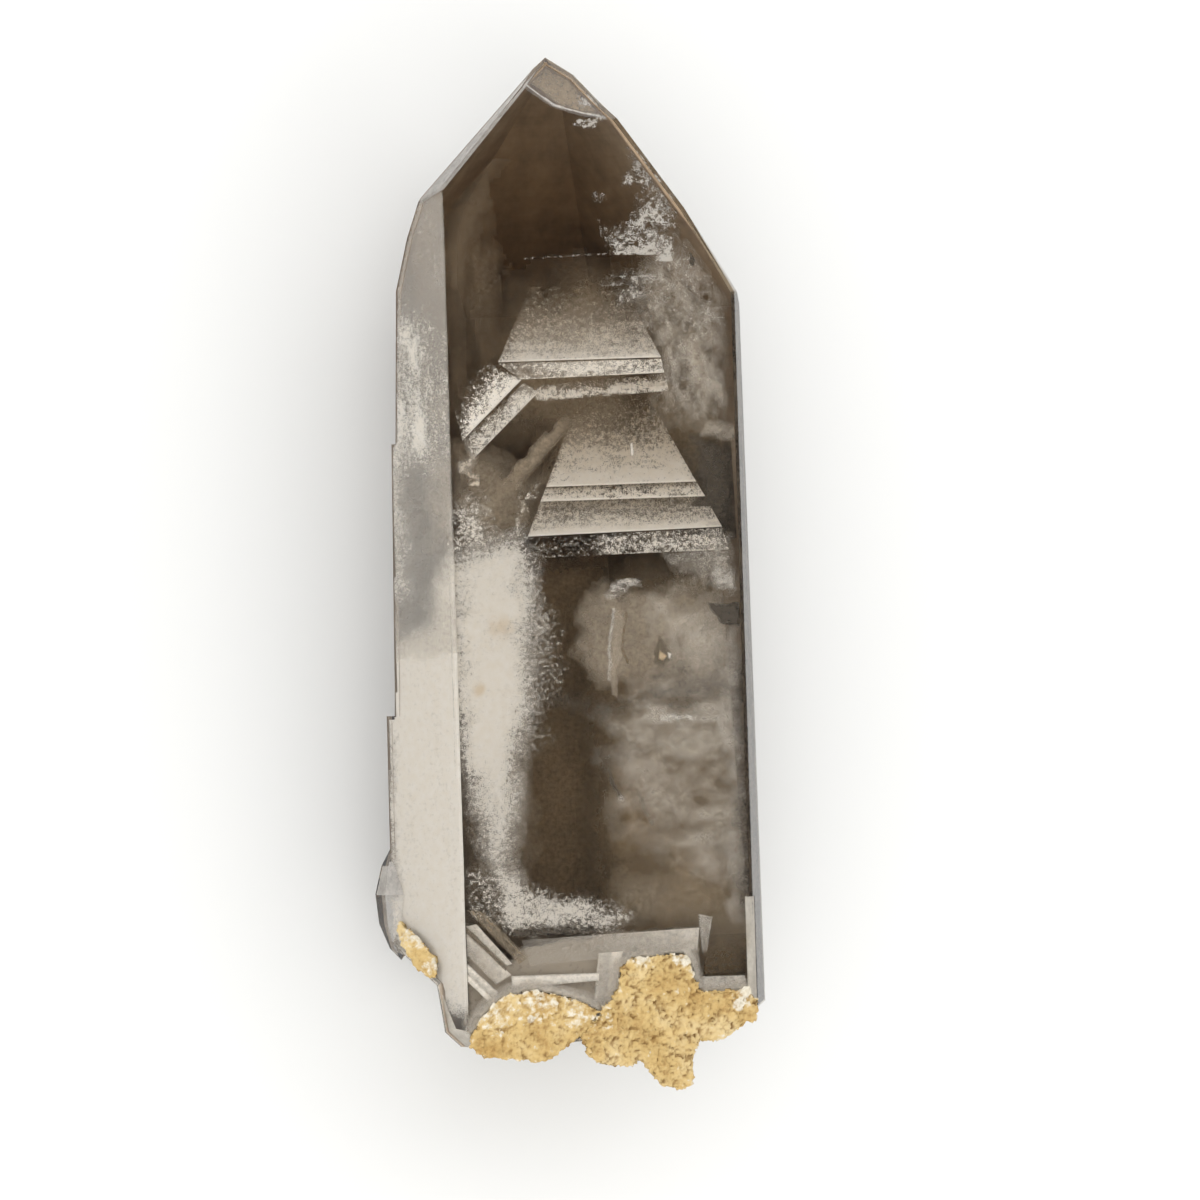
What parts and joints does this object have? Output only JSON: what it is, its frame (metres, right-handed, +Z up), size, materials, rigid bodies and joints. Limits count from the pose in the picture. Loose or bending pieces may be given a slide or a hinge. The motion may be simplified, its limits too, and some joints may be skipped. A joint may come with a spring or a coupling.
{
  "type": "smoky quartz crystal specimen",
  "caption": "Loose smoky quartz point with white phantom layers sealed inside, a small side crystal on its flank and ochre clay caked in its broken base, lying on its back face.",
  "frame": {"origin": "middle of the specimen's bounding box, on the surface that its back face lies on", "axes": "+Z up, out of the large front face; +Y along the crystal towards its tip; +X across the front face"},
  "size_m": [0.0388, 0.1034, 0.0224],
  "materials": {
    "smoky_quartz": "polished by growth, clear smoky brown with white dust sealed inside",
    "ochre_clay": "dry crumbly earth, cracked and pitted"
  },
  "bodies": {
    "root": {"crystal": "smoky_quartz", "clay_left": "ochre_clay", "clay_right": "ochre_clay", "clay_side": "ochre_clay"}
  },
  "joints": []
}
